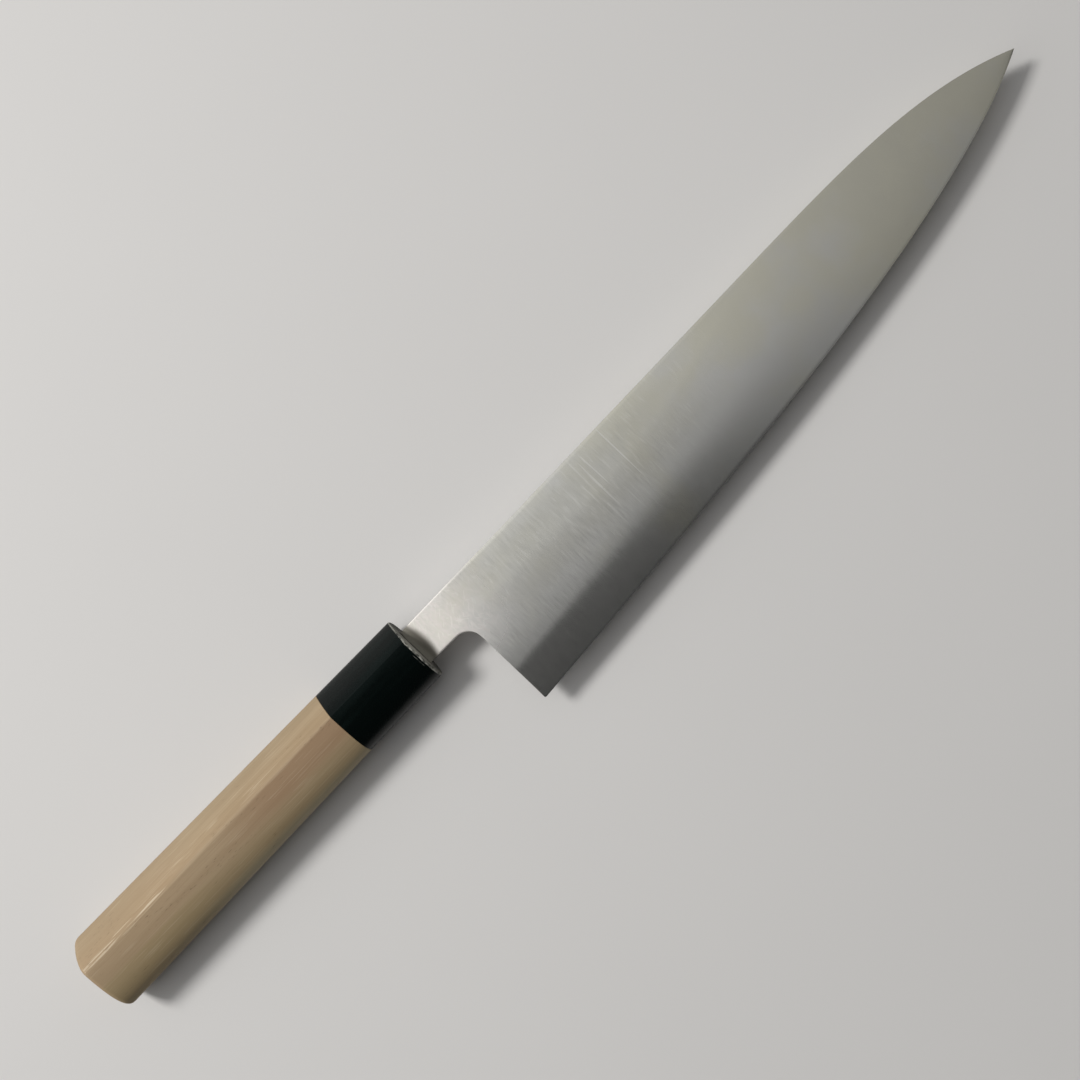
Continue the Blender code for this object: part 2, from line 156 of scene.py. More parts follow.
# Inside the handle
SLOT_THICKNESS = 3.2 * MM
FERRULE_FRONT_WALL = 8.6 * MM
TENON_RADIUS = 6.67 * MM
TENON_GAP = 0.15 * MM
SOCKET_PLAY = 0.6 * MM
SEAL_WALL = 0.8 * MM
SEAL_CORNER = 1.3 * MM
SEAL_CORNER_STEPS = 8
SEAL_BEND = 0.5 * MM
SEAL_DEPTH = 3.0 * MM
SEAL_GAP = 0.03 * MM
SEAL_FOOT_GAP = 0.1 * MM
# How much of its pocket's width the seal fills, from the neck outwards
SEAL_FILL = 0.95
# The bead's middling height, and its swells: how many go round, how high and from where
BEAD_HEIGHT = 0.32 * MM
BEAD_SWELLS = ((3, 0.10 * MM, 0.7), (7, 0.07 * MM, 0.0))
BEAD_SINK = 0.05 * MM
BEAD_BEND_STEPS = 6
BEAD_SIDE_STEPS = 16
BEAD_ROUND_STEPS = 8
OVERCUT = 2.0 * MM
BORE_SIDES = 96

# Points closer than this are one, in a lofted mesh and in the handle's bent grid
LOFT_MERGE = 0.0005 * MM
GRID_MERGE = 0.001 * MM

# From this angle on an edge is shaded as sharp
SHARP = math.radians(30.0)
BLADE_SHARP = math.radians(22.0)

# Colours of the marks on steel, wood and seal
STEEL_MIST = (0.56, 0.56, 0.52)
STEEL_DULL = (0.54, 0.53, 0.47)
STREAK_LIGHT = (0.86, 0.85, 0.80)
STREAK_DARK = (0.45, 0.45, 0.42)
NECK_SCUFF = (0.80, 0.75, 0.72)
NECK_SCRATCH = (0.96, 0.93, 0.89)
BLADE_SCRATCH = (0.95, 0.94, 0.90)
# The neck's foot: painted light by the horn and a painted shadow of the ferrule
FOOT_PAINTED_LIGHT = (0.46, 0.44, 0.37)
FOOT_PAINTED_SHADOW = (0.135, 0.125, 0.103)
WOOD_FLUSH = (0.28, 0.18, 0.105)
WOOD_LOW = (0.45, 0.385, 0.25)
WOOD_TOP = (0.27, 0.22, 0.145)
WOOD_GLINT = (0.68, 0.58, 0.44)
WOOD_PORE = (0.14, 0.09, 0.05)
SEAL_DUST = (0.35, 0.34, 0.29)

# Studio: the picture's middle in the knife's frame, and the key lamp as seen from there
PICTURE_MIDDLE = Vector((50.2, -4.5, 0.0)) * MM
LAMP_PLACE = Vector((-0.572, 0.869, 1.1))
LAMP_SIDE = 0.34
LAMP_COLOUR = (1.0, 0.99, 0.97)
ROOM_SHADE = 0.045
FLOOR_REACH = 3.0
FLOOR_DROP = 0.02 * MM
NEAREST_SEEN = 10.0 * MM

FERRULE_LOW, FERRULE_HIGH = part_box("ferrule")
# The knife's own origin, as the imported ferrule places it
ORIGIN = Vector((FERRULE_HIGH.x, (FERRULE_LOW.y + FERRULE_HIGH.y) / 2,
                 FERRULE_LOW.z + LEFT_DEPTH))


def in_mm(name, description, millimetres):
    return FloatProperty(name=name, description=description, default=millimetres * MM,
                         unit="LENGTH")


def in_degrees(name, description, degrees):
    return FloatProperty(name=name, description=description, default=math.radians(degrees),
                         unit="ROTATION")


def in_rgb(name, description, red, green, blue):
    return FloatVectorProperty(name=name, description=description, default=(red, green, blue),
                               subtype="COLOR", min=0.0, max=1.0)


class BladeSizes(bpy.types.PropertyGroup):
    spine_at_heel: in_mm("Spine at heel", "Thickness of the spine above the heel", 3.2)
    spine_ease: in_mm("Spine ease", "Radius that the spine's corners are rubbed down to", 0.03)
    back_ease: in_mm("Neck ease", "Radius on the corners of the neck, the choil and the heel", 0.4)
    shoulder_height: in_mm(
        "Shoulder height", "Height above the edge where the face turns down to it", 12.0)
    shoulder_turn: in_degrees("Shoulder turn", "How far the face turns there at the heel", 2.6)
    streak_depth: in_mm("Streak depth", "Depth of the grinding lines from spine to edge", 0.006)


class HandleSizes(bpy.types.PropertyGroup):
    front_height: in_mm("Front height", "Height of the handle at the ferrule's front", 22.65)
    butt_height: in_mm("Butt height", "Height of the handle at its end", 25.9)
    front_ridge: in_mm("Front ridge", "How far the ridge stands out at the ferrule's front", 9.5)
    butt_ridge: in_mm("Butt ridge", "How far the ridge stands out at the butt", 10.4)
    front_drop: in_mm("Front drop", "From the top of the handle down to the ridge, in front", 7.6)
    butt_drop: in_mm("Butt drop", "From the top of the handle down to the ridge, at the butt", 8.7)
    butt_round: in_mm("Butt round", "Radius of the butt's rim", 1.6)
    butt_top_round: in_mm("Butt top round", "Radius of the butt's rim at the top, by the palm", 3.5)
    rim_round: in_mm("Rim round", "Radius of the ferrule's front rim", 0.5)
    joint_round: in_mm("Joint round", "Radius of the two rims where wood meets horn", 0.12)
    joint_gap: in_mm("Joint gap", "The hairline between wood and horn", 0.05)
    butt_wear: in_mm("Ridge wear, butt", "How far to each side the wood is worn at the butt", 1.3)
    joint_wear: in_mm("Ridge wear, joint", "The same where the wood meets the horn", 0.35)
    horn_wear: in_mm("Ridge wear, horn", "The same along the horn", 0.0)
    steps: IntProperty(
        name="Steps", description="Points along each stretch of the section",
        default=20, min=4, max=40)


class KnifeColours(bpy.types.PropertyGroup):
    steel: in_rgb("Steel", "Colour of the satin steel", 0.735, 0.713, 0.60)
    steel_cool: in_rgb(
        "Cool steel", "Colour of the satin steel in its cooler patches", 0.705, 0.70, 0.672)
    wood_light: in_rgb("Light wood", "Colour of the wood between its fibres", 0.372, 0.28, 0.176)
    wood_dark: in_rgb("Dark wood", "Colour of the wood's darker fibres", 0.295, 0.213, 0.126)
    wood_red: in_rgb("Red wood", "Colour of the wood's redder patches", 0.31, 0.2, 0.118)
    wood_deep: in_rgb("Deep wood", "Colour of the wood low on the right side", 0.29, 0.225, 0.118)
    horn: in_rgb("Horn", "Colour of the polished horn", 0.0008, 0.0024, 0.0021)
    # Also the rim's painted highlight and the front face's painted light and shade
    horn_worn: in_rgb("Worn horn", "Colour of the horn's sanded front", 0.50, 0.49, 0.435)
    resin: in_rgb("Resin", "Colour of the seal", 0.12, 0.114, 0.098)
    floor: in_rgb("Floor", "Colour of the floor", 0.62, 0.61, 0.60)


class StudioSettings(bpy.types.PropertyGroup):
    view_height: in_mm("Camera height", "Height of the camera above the blade", 480.0)
    view_width: in_mm("View width", "Width of the picture at the blade", 326.3)
    view_turn: in_degrees("View turn", "How far the knife is turned in the picture", 46.12)
    key_power: FloatProperty(
        name="Key light", description="Power of the key light in watts",
        default=18.0, subtype="POWER")
    room_light: FloatProperty(
        name="Room light", description="Brightness of the room's light side",
        default=0.98, min=0.0)


class Value:
    """A node's output. Arithmetic on it adds Math nodes to its graph."""

    def __init__(self, graph, socket):
        self.graph = graph
        self.socket = socket

    def math(self, operation, *values):
        return self.graph.node("ShaderNodeMath", {"operation": operation}, values)

    def __add__(self, other):
        return self.math("ADD", self, other)

    def __radd__(self, other):
        return self.math("ADD", other, self)

    def __sub__(self, other):
        return self.math("SUBTRACT", self, other)

    def __rsub__(self, other):
        return self.math("SUBTRACT", other, self)

    def __mul__(self, other):
        return self.math("MULTIPLY", self, other)

    def __rmul__(self, other):
        return self.math("MULTIPLY", other, self)

    def __truediv__(self, other):
        return self.math("DIVIDE", self, other)

    def __rtruediv__(self, other):
        return self.math("DIVIDE", other, self)

    def __neg__(self):
        return self.math("MULTIPLY", self, -1.0)

    def __abs__(self):
        return self.math("ABSOLUTE", self)

    def clamp(self):
        """The value held between 0 and 1."""
        return self.graph.node("ShaderNodeClamp", {}, (self,))

    def sine(self):
        return self.math("SINE", self)

    def cosine(self):
        return self.math("COSINE", self)


class Graph:
    """A node tree that grows by one method."""

    def __init__(self, tree):
        self.tree = tree

    def node(self, kind, settings, values=(), output=0):
        """Add a node, set its settings, fill its sockets and return its output, if it has one."""
        node = self.tree.nodes.new(kind)
        for name, value in settings.items():
            setattr(node, name, value)
        self.fill(node, values)
        return Value(self, node.outputs[output]) if node.outputs else None

    def fill(self, node, values):
        """Fill or link a node's sockets, by number or by name. A list gives several links."""
        for key, value in values.items() if isinstance(values, dict) else enumerate(values):
            for item in value if isinstance(value, list) else (value,):
                if isinstance(item, Value):
                    self.tree.links.new(item.socket, node.inputs[key])
                else:
                    node.inputs[key].default_value = item

    def split(self, vector):
        """The X, Y and Z of a vector."""
        first = self.node("ShaderNodeSeparateXYZ", {}, (vector,))
        return [Value(self, socket) for socket in first.socket.node.outputs]

    def mix(self, share, a, b):
        """A colour between a and b, each a Value or three numbers."""
        a, b = (c if isinstance(c, Value) else (*c, 1.0) for c in (a, b))
        return self.node("ShaderNodeMix", {"data_type": "RGBA"}, {0: share, 6: a, 7: b}, 2)

    def ramp(self, value, low, high):
        """0 up to low, 1 from high on and a soft rise between them. low may be the greater."""
        return self.node("ShaderNodeMapRange", {"interpolation_type": "SMOOTHSTEP"},
                         {0: value, 1: low, 2: high})

    def band(self, value, start, full, fading, end):
        """1 between full and fading, with soft slopes down to 0 at start and at end."""
        return self.ramp(value, start, full) * self.ramp(value, end, fading)


class Finish(Graph):
    """A material with one Principled shader, and the knife's own coordinates to draw on it.

    place is in metres. x, y and z are the same in millimetres. base is the colour so far.
    """

    def __init__(self, name, base):
        self.base = base
        self.material = bpy.data.materials.new(name)
        self.material.use_nodes = True
        super().__init__(self.material.node_tree)
        self.shader = self.tree.nodes["Principled BSDF"]
        whole = self.node("ShaderNodeTexCoord", {}, output="Object")
        self.place = self.node("ShaderNodeMapping", {}, {"Vector": whole, "Location": -ORIGIN})
        self.x, self.y, self.z = self.split(self.node(
            "ShaderNodeVectorMath", {"operation": "SCALE"}, {0: self.place, "Scale": 1.0 / MM}))

    def grain(self, per_metre, detail=3.0, shift=0.0, turn=0.0):
        """Noise with as many marks to a metre as given for each axis.

        shift takes it from another part of the noise, and turn slants it on the blade.
        """
        place = self.place
        if turn:
            place = self.node("ShaderNodeMapping", {},
                              {"Vector": place, "Rotation": (0.0, 0.0, turn)})
        stretched = self.node("ShaderNodeMapping", {}, {
            "Vector": place, "Scale": per_metre, "Location": (shift, shift, shift)})
        return self.node("ShaderNodeTexNoise", {},
                         {"Vector": stretched, "Scale": 1.0, "Detail": detail})

    def bump(self, height, depth, normal=None):
        values = {"Height": height, "Distance": depth}
        if normal:
            values["Normal"] = normal
        return self.node("ShaderNodeBump", {}, values)

    def brushed(self, swing):
        """The surface's normal, leaning to and fro along the knife by a varying number."""
        face = self.node("ShaderNodeNewGeometry", {}, output="Normal")
        lean = self.node("ShaderNodeCombineXYZ", {}, (swing, 0.0, 0.0))
        both = self.node("ShaderNodeVectorMath", {"operation": "ADD"}, (face, lean))
        return self.node("ShaderNodeVectorMath", {"operation": "NORMALIZE"}, (both,))

    def lay(self, share, colour):
        """Lay a colour over the base, as much of it as share says."""
        self.base = self.mix(share, self.base, colour)

    def done(self, **inputs):
        """The material, with its shader's sockets filled. Underscores stand for spaces."""
        self.fill(self.shader, {"Base Color": self.base})
        self.fill(self.shader, {name.replace("_", " "): inputs[name] for name in inputs})
        return self.material


def satin_steel(colours, sizes):
    """Steel ground from spine to edge, with fine lines that are plainest near the heel.

    The neck is rougher than the blade and has the ferrule's shadow painted where it enters it.
    """
    finish = Finish("satin_steel", colours.steel_cool)
    x, y, grain, ramp, band, lay = (
        finish.x, finish.y, finish.grain, finish.ramp, finish.band, finish.lay)
    fine = grain((4200.0, 260.0, 300.0))
    broad = grain((1100.0, 190.0, 90.0), detail=4.0, shift=3.1)
    cloud = grain((24.0, 30.0, 20.0), shift=7.7)
    mist = grain((70.0, 60.0, 20.0), detail=4.0, shift=23.5)
    lines = grain((900.0, 24.0, 60.0), detail=1.0, shift=11.3)
    nicks = grain((800.0, 210.0, 60.0), detail=0.0, shift=41.0)
    patch = grain((26.0, 50.0, 30.0), detail=2.0, shift=17.9)
    scuffs = grain((900.0, 500.0, 500.0), detail=4.0, shift=29.0)
    leaning = grain((1500.0, 260.0, 200.0), detail=1.0, shift=35.0, turn=math.radians(38.0))
    crossing = grain((1500.0, 300.0, 200.0), detail=1.0, shift=39.0, turn=math.radians(-50.0))
    near_heel = ramp(x, 150.0, 40.0) * 0.8 + 0.2
    upper = ramp(y, -28.0, -14.0) * 0.75 + 0.25
    near_spine = ramp(y, -26.0, -8.0)
    neck = ramp(x, 40.0, 8.0) * ramp(y, -24.0, -8.0)
    # Soft patches, warmer towards the tip and the spine
    warm = ramp(cloud * 0.7 + mist * 0.3 + x * 0.0007 + y * 0.005, 0.41, 0.64)
    lay(warm, colours.steel)
    lay(ramp(mist, 0.4, 0.62) * 0.10, STEEL_MIST)
    # A darker stretch between the shoulder and the spine
    dull = band(x, 22.0, 45.0, 90.0, 130.0) * band(y, -19.0, -11.0, 0.0, 7.0)
    lay(dull * 0.5, STEEL_DULL)
    # The grinding lines, light and dark, in broken fields
    streak = (broad * 0.65 + fine * 0.35 - 0.5) * near_heel * upper
    broken = ramp(patch, 0.34, 0.62) * 0.24 + 0.08
    lay(ramp(streak, 0.0, 0.14) * broken, STREAK_LIGHT)
    lay(ramp(streak, 0.0, -0.14) * broken, STREAK_DARK)
    # The neck's scuffs, and slanting scratches that cross on it
    lay(neck * (ramp(scuffs, 0.4, 0.66) * 0.5 + 0.3), NECK_SCUFF)
    crossed = (ramp(leaning, 0.62, 0.70) + ramp(crossing, 0.62, 0.70)).clamp()
    lay(crossed * neck * 0.28, NECK_SCRATCH)
    # A few long bright scratches in one field, and short nicks near the heel
    field = band(x, 55.0, 72.0, 92.0, 112.0) * ramp(patch, 0.40, 0.52)
    scratch = (ramp(lines, 0.67, 0.72) * field
               + ramp(nicks, 0.72, 0.78) * 0.5 * near_heel) * near_spine
    lay(scratch.clamp() * 0.34, BLADE_SCRATCH)
    # The neck's dark foot is a painted shadow of the ferrule, with painted light by the horn. Its
    # edge bows out towards the blade
    bow = (y + 0.8) * 0.17076
    foot = ramp(x + bow * bow + (scuffs - 0.5) * 0.2, 6.4, 3.95)
    lay(foot, finish.mix(ramp(x, 0.6, 3.8), FOOT_PAINTED_LIGHT, FOOT_PAINTED_SHADOW))
    rough = 0.14 + broad * 0.04 + cloud * 0.04 + scuffs * 0.03 + neck * 0.3 + foot * 0.3
    swing = (fine - 0.5) * near_heel * 0.05
    height = broad * near_heel * 0.7 + scuffs * (0.25 + neck * 0.9) - scratch * 0.6
    normal = finish.bump(height, sizes.streak_depth, finish.brushed(swing))
    return finish.done(Metallic=1.0 - foot * 0.85, Roughness=rough, Normal=normal)


def pale_wood(colours):
    """Straight-grained wood: fibres along the handle, growth bands, pores, a worn ridge and painted
    light and shade.
    """
    finish = Finish("pale_wood", colours.wood_dark)
    x, y, grain, ramp, band, lay = (
        finish.x, finish.y, finish.grain, finish.ramp, finish.band, finish.lay)
    fibre = grain((34.0, 2600.0, 2600.0), detail=4.0)
    growth = grain((6.0, 420.0, 160.0), shift=2.3)
    cloud = grain((16.0, 50.0, 50.0), detail=2.0, shift=5.9)
    pores = grain((420.0, 3600.0, 3600.0), detail=1.0, shift=9.1)
    patch = grain((40.0, 220.0, 220.0), detail=2.0, shift=13.7)
    strokes = grain((75.0, 2800.0, 2800.0), detail=1.0, shift=19.3)
    tone = fibre * 0.35 + growth * 0.4 + cloud * 0.25
    lay(ramp(tone, 0.34, 0.64), colours.wood_light)
    lay(ramp(cloud, 0.45, 0.7) * 0.25, colours.wood_red)
    # Redder below the ridge towards the horn
    red = ramp(x, -90.0, -55.0) * band(y, -6.0, -2.0, 3.0, 4.4)
    lay(red * 0.75, WOOD_FLUSH)
    # Browner down the flank, but lighter again at its foot, and duller along the top
    lay(ramp(y, -1.0, -10.0) * 0.55, colours.wood_deep)
    foot = ramp(y, -8.5, -11.2) * ramp(x, -130.0, -75.0)
    lay(foot * 0.75, WOOD_LOW)
    lay(ramp(y, 5.0, 11.0) * 0.25, WOOD_TOP)
    # Painted shade, darker towards the butt and most of all below a faint line on the flank
    butt = ramp(x, -85.0, -125.0)
    lay(butt * 0.3, colours.wood_dark)
    below = ramp(y, -3.0, -3.5) * ramp(x, -85.0, -105.0)
    lay(below * 0.4, colours.wood_deep)
    # The crest of the ridge, where the hand has rubbed the wood, most of all near the butt. The
    # light streaks on it and over the wood are a painted highlight
    crest = band(y - ramp(x, -104.0, -84.0) * 2.8, 2.2, 3.6, 4.6, 6.2) * ramp(finish.z, 6.0, 8.0)
    bright = crest * butt
    glint = (ramp(strokes + bright * 0.05, 0.58, 0.66)
             * (ramp(patch, 0.42, 0.6) + bright * 0.6).clamp())
    lay(glint * (0.14 + crest * (0.14 + butt * 0.4)), WOOD_GLINT)
    pore = ramp(pores, 0.64, 0.71) * ramp(patch, 0.47, 0.38)
    lay(pore * 0.5, WOOD_PORE)
    rim = ramp(x, -135.2, -136.3) * ramp(y, 3.0, -3.0)
    lay(rim * 0.4, colours.wood_red)
    rough = 0.58 + fibre * 0.16 + crest * 0.1
    normal = finish.bump(fibre * 0.7 + growth * 0.3 - pore, 0.03 * MM)
    return finish.done(Roughness=rough, Normal=normal, Specular_IOR_Level=0.3)


def black_horn(colours):
    """Polished black horn with faint streaks, its rim worn to grey with a painted highlight, its
    front sanded and painted with light and shade.
    """
    finish = Finish("black_horn", colours.horn)
    y, z, grain, ramp, band, lay = (
        finish.y, finish.z, finish.grain, finish.ramp, finish.band, finish.lay)
    streak = grain((22.0, 340.0, 340.0))
    speck = grain((900.0, 900.0, 900.0), detail=2.0, shift=4.4)
    ragged = grain((300.0, 700.0, 700.0), shift=8.8)
    # Distance in front of the horn's front face, and the same with a ragged edge
    ahead = finish.x - FERRULE_REACH / MM
    x = ahead + (ragged - 0.5) * 0.3
    # The worn rim, which also carries a painted highlight, and the face, with a wider rim on the
    # flank
    flank = ramp(y, 4.4, 2.8)
    rim = ramp(x + flank * 0.15, -0.55, -0.4)
    # A second worn line a little further back on the lower half
    line = band(x, -1.45, -1.35, -1.25, -1.15) * band(y, -6.0, -5.0, -1.8, -0.8)
    # The rim is worn in specks, the sanded face more evenly and lighter towards the right side.
    # Painted shade darkens the face near the top and painted light makes it palest by the neck
    beside = ramp(ahead, -0.02, -0.15)
    specks = ramp(speck, 0.25, 0.7) * 0.45 + ramp(speck, 0.52, 0.44) * beside * -0.4
    # Painted light on the face by the neck
    painted_light_by_neck = band(y, -8.0, 0.0, 0.0, 9.0) * ramp(z, 0.0, 4.0)
    face = (ramp(z, -2.5, 4.0) * 0.42 + 0.2) * (1.0 - ramp(y, 7.0, 9.5) * 0.4) + painted_light_by_neck * 0.7
    worn = (rim * mix(face, flank * 0.3 + 0.5, beside) + line * 0.2) * (specks + 0.55)
    streaked = tuple(c * 1.9 + 0.001 for c in colours.horn)
    lay(ramp(streak, 0.42, 0.72), streaked)
    lay(worn.clamp(), colours.horn_worn)
    rough = 0.2 + speck * 0.12 + worn * 0.3 + (1.0 - beside) * rim * 0.45
    normal = finish.bump(speck * 0.5 + streak * 0.5 + ragged * worn, 0.02 * MM)
    return finish.done(Roughness=rough, Normal=normal, IOR=1.38, Specular_IOR_Level=0.26)


def seal_resin(colours):
    """Dark resin, smoothed by hand, with a little dust in it."""
    finish = Finish("seal_resin", colours.resin)
    cloud = finish.grain((500.0, 500.0, 500.0))
    dust = finish.grain((2600.0, 2600.0, 2600.0), detail=1.0, shift=6.2)
    lighter = tuple(c * 1.5 for c in colours.resin)
    finish.lay(finish.ramp(cloud, 0.4, 0.7), lighter)
    finish.lay(finish.ramp(dust, 0.6, 0.68) * 0.6, SEAL_DUST)
    return finish.done(Roughness=0.34 + cloud * 0.2, Normal=finish.bump(cloud, 0.05 * MM))


def floor_finish(colours):
    """A plain floor with faint clouds."""
    finish = Finish("floor_finish", tuple(c * 0.97 for c in colours.floor))
    finish.lay(finish.grain((9.0, 9.0, 9.0), detail=4.0), colours.floor)
    return finish.done(Roughness=0.75, Specular_IOR_Level=0.25)


def mix(a, b, share):
    return a + (b - a) * share


def smooth(value, low, high):
    """0 below low, 1 above high and a soft rise between them."""
    share = min(1.0, max(0.0, (value - low) / (high - low)))
    return share * share * (3.0 - 2.0 * share)


def equal_steps(count):
    """The ends of that many equal steps from 0 to 1."""
    return [i / count for i in range(1, count + 1)]


def cubic_shares(t):
    """How much each of a cubic curve's four control values counts at t."""
    rest = 1.0 - t
    before, after = rest * rest, t * t
    return before * rest, before * t * 3.0, rest * after * 3.0, after * t


def cubic(control, shares):
    """The value of a cubic curve by its four control values."""
    first, second, third, fourth = (value * share for value, share in zip(control, shares))
    return first + second + third + fourth


def spine_y(x):
    fall_from = TIP_X - (EDGE_LENGTH - SPINE_LEVEL_LENGTH)
    share = max(0.0, (x - fall_from) / (TIP_X - fall_from))
    return NECK_HEIGHT / 2 + SPINE_RISE * x / TIP_X - TIP_DROP * share ** SPINE_CURVE


HEEL_Y = spine_y(NECK_LENGTH) - HEEL_HEIGHT


def edge_point(share):
    heel = Vector((NECK_LENGTH, HEEL_Y))
    tip = Vector((TIP_X, spine_y(TIP_X)))
    away = Vector((math.cos(EDGE_HEEL_ANGLE), math.sin(EDGE_HEEL_ANGLE))) * EDGE_HEEL_REACH
    back = Vector((math.cos(EDGE_TIP_ANGLE), math.sin(EDGE_TIP_ANGLE))) * EDGE_TIP_REACH
    return cubic((heel, heel + away, tip - back, tip), cubic_shares(share))


def edge_y(x):
    """The cutting edge's height at x. Behind the heel the edge runs on as a straight line."""
    if x <= NECK_LENGTH:
        return HEEL_Y + (x - NECK_LENGTH) * math.tan(EDGE_HEEL_ANGLE)
    low, high = 0.0, 1.0
    for _ in range(30):
        middle = (low + high) / 2
        if edge_point(middle).x < x:
            low = middle
        else:
            high = middle
    return edge_point(low).y


def finish_piece(name, mesh, material, node, sharp=SHARP):
    """Put a mesh in the scene, at its place in the world, as the piece for a CAD node."""
    mesh.transform(Matrix.Translation(ORIGIN))
    mesh.name = name
    if material.name not in mesh.materials:
        mesh.materials.append(material)
    mesh.shade_smooth()
    mesh.set_sharp_from_angle(angle=sharp)
    piece = bpy.data.objects.new(name, mesh)
    bpy.context.scene.collection.objects.link(piece)
    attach(piece, BODY)
    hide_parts(node)


def loft(rings, closed=False):
    """A body through rings of points. Points that meet are merged.

    It is capped at the first ring and runs out to a point, or it is closed to a loop.
    """
    work = bmesh.new()
    rows = [[work.verts.new(point) for point in ring] for ring in rings]
    for back, front in zip(rows, rows[1:] + rows[:1] if closed else rows[1:]):
        for i in range(len(back)):
            work.faces.new((back[i - 1], back[i], front[i], front[i - 1]))
    if not closed:
        work.faces.new(rows[0])
    bmesh.ops.remove_doubles(work, verts=work.verts, dist=LOFT_MERGE)
    bmesh.ops.dissolve_degenerate(work, edges=work.edges, dist=LOFT_MERGE)
    bmesh.ops.recalc_face_normals(work, faces=work.faces)
    mesh = bpy.data.meshes.new("loft")
    work.to_mesh(mesh)
    work.free()
    return mesh


class BladeShape:
    """The ground blade: how thick it is at any point, and the lines that it is drawn through."""

    # Points up one side of a line: round the lower end, up the face and round the spine's corner
    CLOSING = 5
    ROWS = 40
    SPINE_STEPS = 5
    # Above 1 the face's points lie closer together near the edge
    SPREAD = 1.15

    def __init__(self, sizes):
        self.sizes = sizes

    def half(self, x):
        """Half the spine's thickness at x."""
        thick = self.sizes.spine_at_heel
        if x < 0.0:
            return mix(thick, TANG_END_THICKNESS, -x / TANG_LENGTH) / 2
        share = max(0.0, (x - NECK_LENGTH) / EDGE_LENGTH)
        return mix(SPINE_AT_TIP, thick, max(0.0, 1.0 - share) ** DISTAL_CURVE) / 2

    def swell(self, x, height, full, side):
        """From 0 at the edge to 1 at the spine: how the side's thickness grows with height."""
        share = min(1.0, max(0.0, height / full))
        if side < 0:
            return 1.0 - (1.0 - share) ** GRIND_LEFT
        plain = 1.0 - (1.0 - share) ** GRIND_RIGHT
        return plain + self.shoulder(x, height, full)

    def shoulder(self, x, height, full):
        """The extra fullness of the right side, greatest at the shoulder line.

        Below the line the face turns down to the edge. The turn is crisp at the heel, and it
        spreads and dies away towards the tip.
        """
        along = (x - NECK_LENGTH) / EDGE_LENGTH
        fade = 1.0 - smooth(along, *SHOULDER_FADES)
        line = min(self.sizes.shoulder_height, SHOULDER_TOP * full)
        soft = mix(*SHOULDER_CREST, smooth(along, *SHOULDER_WIDENS))
        # A wedge up to the line and down from it, with its crest rounded
        rise = height / line
        fall = (full - height) / (full - line)
        crest = soft / line
        meet = (rise + fall - math.sqrt((rise - fall) ** 2 + crest ** 2)) / 2
        ends = (1.0 - math.sqrt(1.0 + crest ** 2)) / 2
        lift = self.sizes.shoulder_turn * line * (full - line) / full
        return fade * (meet - ends) * lift / self.half(x)

    def depth(self, spot, side):
        """How far the side stands out from the middle plane at a point of the blade."""
        low = edge_y(spot.x)
        full = max(spine_y(spot.x) - low, LEAST_HEIGHT)
        half = self.half(spot.x)
        behind = min(BEHIND_EDGE / 2, half / 2)
        swell = self.swell(spot.x, spot.y - low, full, side)
        return behind + (half - behind) * min(1.0, swell)

    def rulings(self):
        """Lines across the blade, each from its lower outline to the spine.

        Each is the lower point, the upper point and how keen the lower end is, 0 or 1.
        """
        lines = []
        for share in (0.0, *equal_steps(TANG_LINES)):
            x = mix(-TANG_LENGTH, -TANG_SHOULDER, share)
            half = mix(TANG_END_HEIGHT, TANG_HEIGHT, share) / 2
            lines.append(((x, -half), (x, half), 0.0))
        neck = NECK_HEIGHT / 2
        neck_x = SHOULDER_RUN - TANG_SHOULDER
        for share in equal_steps(SHOULDER_LINES):
            x = mix(-TANG_SHOULDER, neck_x, share)
            grown = mix(TANG_HEIGHT / 2, neck, smooth(share, 0.0, 1.0))
            lines.append(((x, -grown), (x, min(grown, spine_y(x))), 0.0))
        # The middle of the choil's round
        turn = Vector((NECK_LENGTH - CHOIL_RADIUS, -neck - NECK_FLARE - CHOIL_RADIUS))
        for share in equal_steps(NECK_LINES):
            x = mix(neck_x, turn.x, share)
            flare = -neck - NECK_FLARE * max(0.0, x / turn.x)
            lines.append(((x, flare), (x, spine_y(x)), 0.0))
        lower = []
        for share in equal_steps(CHOIL_LINES):
            angle = QUARTER * (1 - share)
            lower.append((turn.x + CHOIL_RADIUS * math.cos(angle),
                          turn.y + CHOIL_RADIUS * math.sin(angle), 0.0))
        for share in equal_steps(BACK_LINES):
            lower.append((NECK_LENGTH, mix(turn.y, HEEL_Y + HEEL_BLUNT, share), 0.0))
        for share in equal_steps(CORNER_LINES):
            angle = math.pi + QUARTER * share
            x = NECK_LENGTH + HEEL_BLUNT * (1 + math.cos(angle))
            lower.append((x, edge_y(x) + HEEL_BLUNT * (1 + math.sin(angle)), share))
        for share in equal_steps(EDGE_LINES):
            point = edge_point(mix(HEEL_BLUNT / EDGE_LENGTH, 1.0, share))
            if point.x > NECK_LENGTH + HEEL_BLUNT:
                lower.append((point.x, point.y, 1.0))
        # The spine's points keep pace with the lower outline's, measured along it
        spots = [(turn.x, turn.y + CHOIL_RADIUS), *((x, y) for x, y, _ in lower)]
        run = list(accumulate(map(math.dist, spots, spots[1:])))
        for (x, y, keen), length in zip(lower, run):
            along = mix(turn.x, TIP_X, length / run[-1])
            upper = mix(along, max(x, turn.x), smooth(x, NECK_LENGTH, UPRIGHT_FROM))
            lines.append(((x, y), (upper, spine_y(upper)), keen))
        return lines

    def section(self, low, high, keen):
        """The closed ring of points on one line across the blade."""
        start, end = Vector(low), Vector(high)
        length = (end - start).length
        if length < SHORTEST_LINE:
            return [(end.x, end.y, 0.0)] * (2 * (self.CLOSING + self.ROWS + self.SPINE_STEPS))
        along = (end - start) / length
        right, left = (self.side(start, along, length, keen, side) for side in (1, -1))
        return right + left[::-1]

